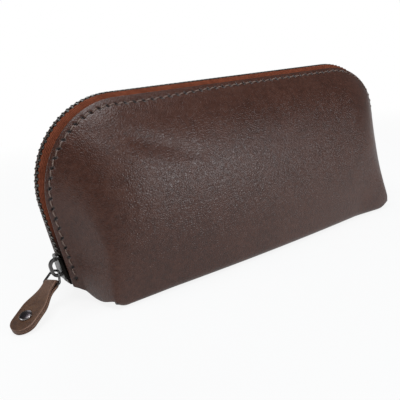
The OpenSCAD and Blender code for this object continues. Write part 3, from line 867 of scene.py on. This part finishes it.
def make_tab():
    """Leather tab: a strap of rounded section carried from one tip, round the ring's bar and back to the
    other."""
    join_x = 9
    edge_r = 0.42
    corner_steps = 5
    fold_pale = 0.4
    flat_z = leaf_gap + leaf_t / 2
    fold_mid = wire_r + fit_gap + leaf_t / 2
    x = tab_len * np.sin(np.linspace(np.pi / 2, 0, 60))
    z = flat_z + (fold_mid - flat_z) * np.clip(1 - x / join_x, 0, 1) ** 1.5
    half = np.linspace(np.pi / 2, 3 * np.pi / 2, 18)[1:-1]
    path = np.concatenate([np.stack([x, z], -1),
                           fold_mid * np.stack([np.cos(half), np.sin(half)], -1),
                           np.stack([x, -z], -1)[::-1]])
    tangent = unit(np.gradient(path, axis=0))
    normal = np.stack([tangent[:, 1], -tangent[:, 0]], -1)
    width = tab_half_width(np.clip(path[:, 0], 0, None))
    quarter = np.linspace(0, np.pi / 2, corner_steps)
    flat = np.linspace(1, -1, 13)
    none = 0 * flat
    edge = np.ones(2 * corner_steps)
    share = np.concatenate([flat, -edge, flat[::-1], edge])
    bulge = np.concatenate([none, -np.sin(quarter), -np.cos(quarter), none, np.sin(quarter), np.cos(quarter)])
    face = none + leaf_t / 2
    high = leaf_t / 2 - edge_r
    over = high + edge_r * np.cos(quarter)
    under = high + edge_r * np.sin(quarter)
    rise = np.concatenate([face, over, -under, -face, -over, under])
    across = share * np.clip(width - edge_r, 0, None)[:, None] + bulge * np.minimum(edge_r, width)[:, None]
    place = path[:, None] + normal[:, None] * rise[None, :, None]
    points = bar + place[..., :1] * tab_ahead + across[..., None] * tab_bars + place[..., 1:] * tab_up
    # painted highlight: the pale edge colour peaks half way round each rounded rim and is nil on the faces
    # and the side; the tab is also paler near its fold round the ring
    gleam = np.sin(2 * quarter)
    rim = np.concatenate([none, gleam, gleam, none, gleam, gleam])
    pale_edge = np.maximum(rim[None], fold_pale * smooth_step(path[:, :1], 12.1, 1.1))
    faces = grid_quads(len(path), len(share), wrap=True)
    marks = {"raw_edge": pale_edge.ravel(), "stitch_hole": 0 * pale_edge.ravel()}
    return make_piece("leather_tab", points.reshape(-1, 3), faces, strap_leather, marks=marks, merge=True)


def revolved(name, profile, finish):
    """Turned piece on the rivet's axis from a profile of [radius, height] above the tab's middle plane."""
    steps = 49
    angle = np.linspace(0, 2 * np.pi, steps)[None, :, None]
    centre = bar + rivet_x * tab_ahead
    around = np.cos(angle) * tab_ahead + np.sin(angle) * tab_bars
    points = centre + profile[:, None, :1] * around + profile[:, None, 1:] * tab_up
    rim = smooth_step(profile[:, :1], 2.1, 2.5) + np.zeros((1, steps))
    faces = grid_quads(len(profile), steps)
    marks = {"rubbed_rim": rim.ravel()}
    return make_piece(name, points.reshape(-1, 3), faces, finish, marks=marks, merge=True)


def make_rivet():
    """Rivet: a flattened dome on a post, squarer than an ellipse, and the washer on the far side."""
    head_r = rivet_d / 2
    head_h = 1.1
    lip = 0.3
    lip_in = 0.05
    squareness = 0.9
    bevel = 0.1
    post_r = 0.9
    hole_r = 0.95
    leaf_top = leaf_gap + leaf_t
    seat = leaf_top + 0.02
    post_low = -leaf_top - 0.35
    slope = np.linspace(0, np.pi / 2, 16)
    dome_r = (head_r - lip_in) * np.sin(slope) ** squareness
    dome_h = seat + lip + (head_h - lip) * np.cos(slope) ** squareness
    dome = np.stack([dome_r, dome_h], -1)
    rim = np.array([[head_r, seat + lip], [head_r, seat + bevel], [head_r - bevel, seat], [post_r, seat],
                    [post_r, post_low + 0.05], [post_r - bevel, post_low], [0, post_low]])
    head = revolved("domed_rivet", np.concatenate([dome, rim]), rivet_metal)
    outer = head_r - 0.4
    low = -leaf_top - 0.42
    washer = np.array([[hole_r, -seat], [outer, -seat], [outer, low + bevel], [outer - bevel, low],
                       [hole_r + bevel, low], [hole_r, low + bevel], [hole_r, -seat]])
    return head, revolved("rivet_washer", washer, rivet_metal)


# Pieces of the case

front_pieces = [
    (make_panel("front_leather", flip=False), "front_panel", "leather"),
    (make_lining("front_lining_cloth", flip=False), "front_lining", "lining_cloth"),
    (make_tape("front_tape", flip=False), "zip_tape_front", "zip_tape"),
    (make_teeth("front_teeth", first_tooth, flip=False), "zip_teeth_front", "zip_metal"),
    (make_stitches("front_stitches", flip=False), None, "leather"),
]
back_pieces = [
    (make_panel("back_leather", flip=True), "back_panel", "leather"),
    (make_base(), "base_panel", "leather"),
    (make_lining("back_lining_cloth", flip=True), "back_lining", "lining_cloth"),
    (make_base_lining(), "base_lining", "lining_cloth"),
    (make_tape("back_tape", flip=True), "zip_tape_back", "zip_tape"),
    (make_teeth("back_teeth", first_tooth + pitch / 2, flip=True), "zip_teeth_back", "zip_metal"),
    (make_stitches("back_stitches", flip=True), None, "leather"),
]
# the front's soft pieces keep their place, and the parts they stand for are hidden
for piece, node, slot in front_pieces:
    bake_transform(piece)
    if node:
        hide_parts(node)
for piece, node, slot in back_pieces:
    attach(piece, "shell")
    if node:
        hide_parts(node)

ring = make_ring()
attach(ring, "ring")
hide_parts("pull_ring")
tab = make_tab()
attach(tab, "tab")
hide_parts("pull_tab")
rivet, washer = make_rivet()
for piece, node in ((rivet, "rivet_head"), (washer, "rivet_back")):
    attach(piece, "tab")
    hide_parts(node)

# the stops and the slider keep their own shapes, with rounded edges
edge_round = 0.16
cad_finishes = {
    "zip_stops_left": tooth_metal,
    "zip_stop_right": tooth_metal,
    "slider_body": slider_metal,
    "slider_crown": slider_metal,
}
for name, finish in cad_finishes.items():
    node = nodes[name]
    node.data.materials.clear()
    node.data.materials.append(finish)
    weld = node.modifiers.new("weld", "WELD")
    weld.merge_threshold = 1e-6
    bevel = node.modifiers.new("soft_edges", "BEVEL")
    bevel.width = edge_round * MM
    bevel.segments = 3
    bevel.limit_method = "ANGLE"
    bevel.angle_limit = np.radians(35)


# Studio

def make_floor():
    """Pale floor: a wide plane that shows nearly white and keeps a soft shadow."""
    half = 6000
    low = -0.1
    shadow_share = 0.13
    corners = half * np.array([[-1, -1, 0], [1, -1, 0], [1, 1, 0], [-1, 1, 0]], float) + [0, 0, low]
    f = Finish("pale_floor")
    pale = f.mix(f.noise(40, 2), (0.80, 0.80, 0.80), (0.84, 0.84, 0.84))
    f.done(Base_Color=pale, Roughness=0.9, Specular_IOR_Level=0.0)
    ray_kinds = ("Is Camera Ray", "Is Glossy Ray", "Is Transmission Ray")
    camera_ray, glossy_ray, clear_ray = (f.node("ShaderNodeLightPath", {}, {}, kind) for kind in ray_kinds)
    seen = camera_ray.most(clear_ray).most(glossy_ray * 0.7)
    glow = f.node("ShaderNodeEmission", {}, {"Color": (1, 1, 1, 1), "Strength": 1.0})
    lit = Value(f, f.shader.outputs[0])
    x, y, _ = f.split(f.place)
    far = (x * x + y * y).between(0.03, 0.35)
    white = seen * (far * shadow_share + (1 - shadow_share))
    both = f.node("ShaderNodeMixShader", {}, {0: white, 1: lit, 2: glow})
    f.put(f.tree.nodes["Material Output"].inputs["Surface"], both)
    make_piece("floor", corners, np.array([[0, 1, 2, 3]]), f.material)


def make_world():
    """Even studio light from all round, seen as plain white by the camera."""
    world = bpy.data.worlds.new("studio")
    bpy.context.scene.world = world
    world.use_nodes = True
    tree = world.node_tree
    ground = tree.nodes["Background"]
    ground.inputs["Color"].default_value = (1, 1, 1, 1)
    ground.inputs["Strength"].default_value = 0.15
    white = tree.nodes.new("ShaderNodeBackground")
    white.inputs["Color"].default_value = (1, 1, 1, 1)
    rays = tree.nodes.new("ShaderNodeLightPath")
    mix = tree.nodes.new("ShaderNodeMixShader")
    tree.links.new(rays.outputs["Is Camera Ray"], mix.inputs[0])
    tree.links.new(ground.outputs[0], mix.inputs[1])
    tree.links.new(white.outputs[0], mix.inputs[2])
    tree.links.new(mix.outputs[0], tree.nodes["World Output"].inputs[0])


def make_lamp(name, place, target, size, watts):
    """Square soft lamp at a place in millimetres, turned to a target."""
    lamp = bpy.data.lights.new(name, "AREA")
    lamp.shape = "SQUARE"
    lamp.size = size * MM
    lamp.energy = watts
    lamp.color = (0.93, 0.97, 1.0)
    made = bpy.data.objects.new(name, lamp)
    made.location = np.array(place) * MM
    aim = Vector((np.array(target) - np.array(place)) * MM)
    made.rotation_euler = aim.to_track_quat("-Z", "Y").to_euler()
    bpy.context.scene.collection.objects.link(made)


def make_camera():
    """Camera at the photograph's viewing angle."""
    place = np.array([-163.9, -201.2, 92.1])
    turn = np.radians([74.91, 5.70, -36.16])
    camera = bpy.data.cameras.new("camera")
    camera.sensor_width = 36
    camera.lens = 46.27
    made = bpy.data.objects.new("camera", camera)
    made.location = place * MM
    made.rotation_euler = turn
    bpy.context.scene.collection.objects.link(made)
    bpy.context.scene.camera = made


make_floor()
make_world()
make_lamp("key", place=(430, -775, 280), target=(-60, -24, 48), size=240, watts=2.2)
make_lamp("top", place=(-110, -80, 900), target=(0, 0, 40), size=600, watts=5.4)
make_lamp("front", place=(-90, -800, 750), target=(-20, 0, 40), size=400, watts=1.2)
make_lamp("left", place=(-850, 220, 260), target=(-60, 0, 40), size=300, watts=1.5)
make_lamp("back", place=(250, 850, 600), target=(0, 0, 40), size=400, watts=2)
make_camera()
bpy.context.scene.view_settings.view_transform = "Standard"
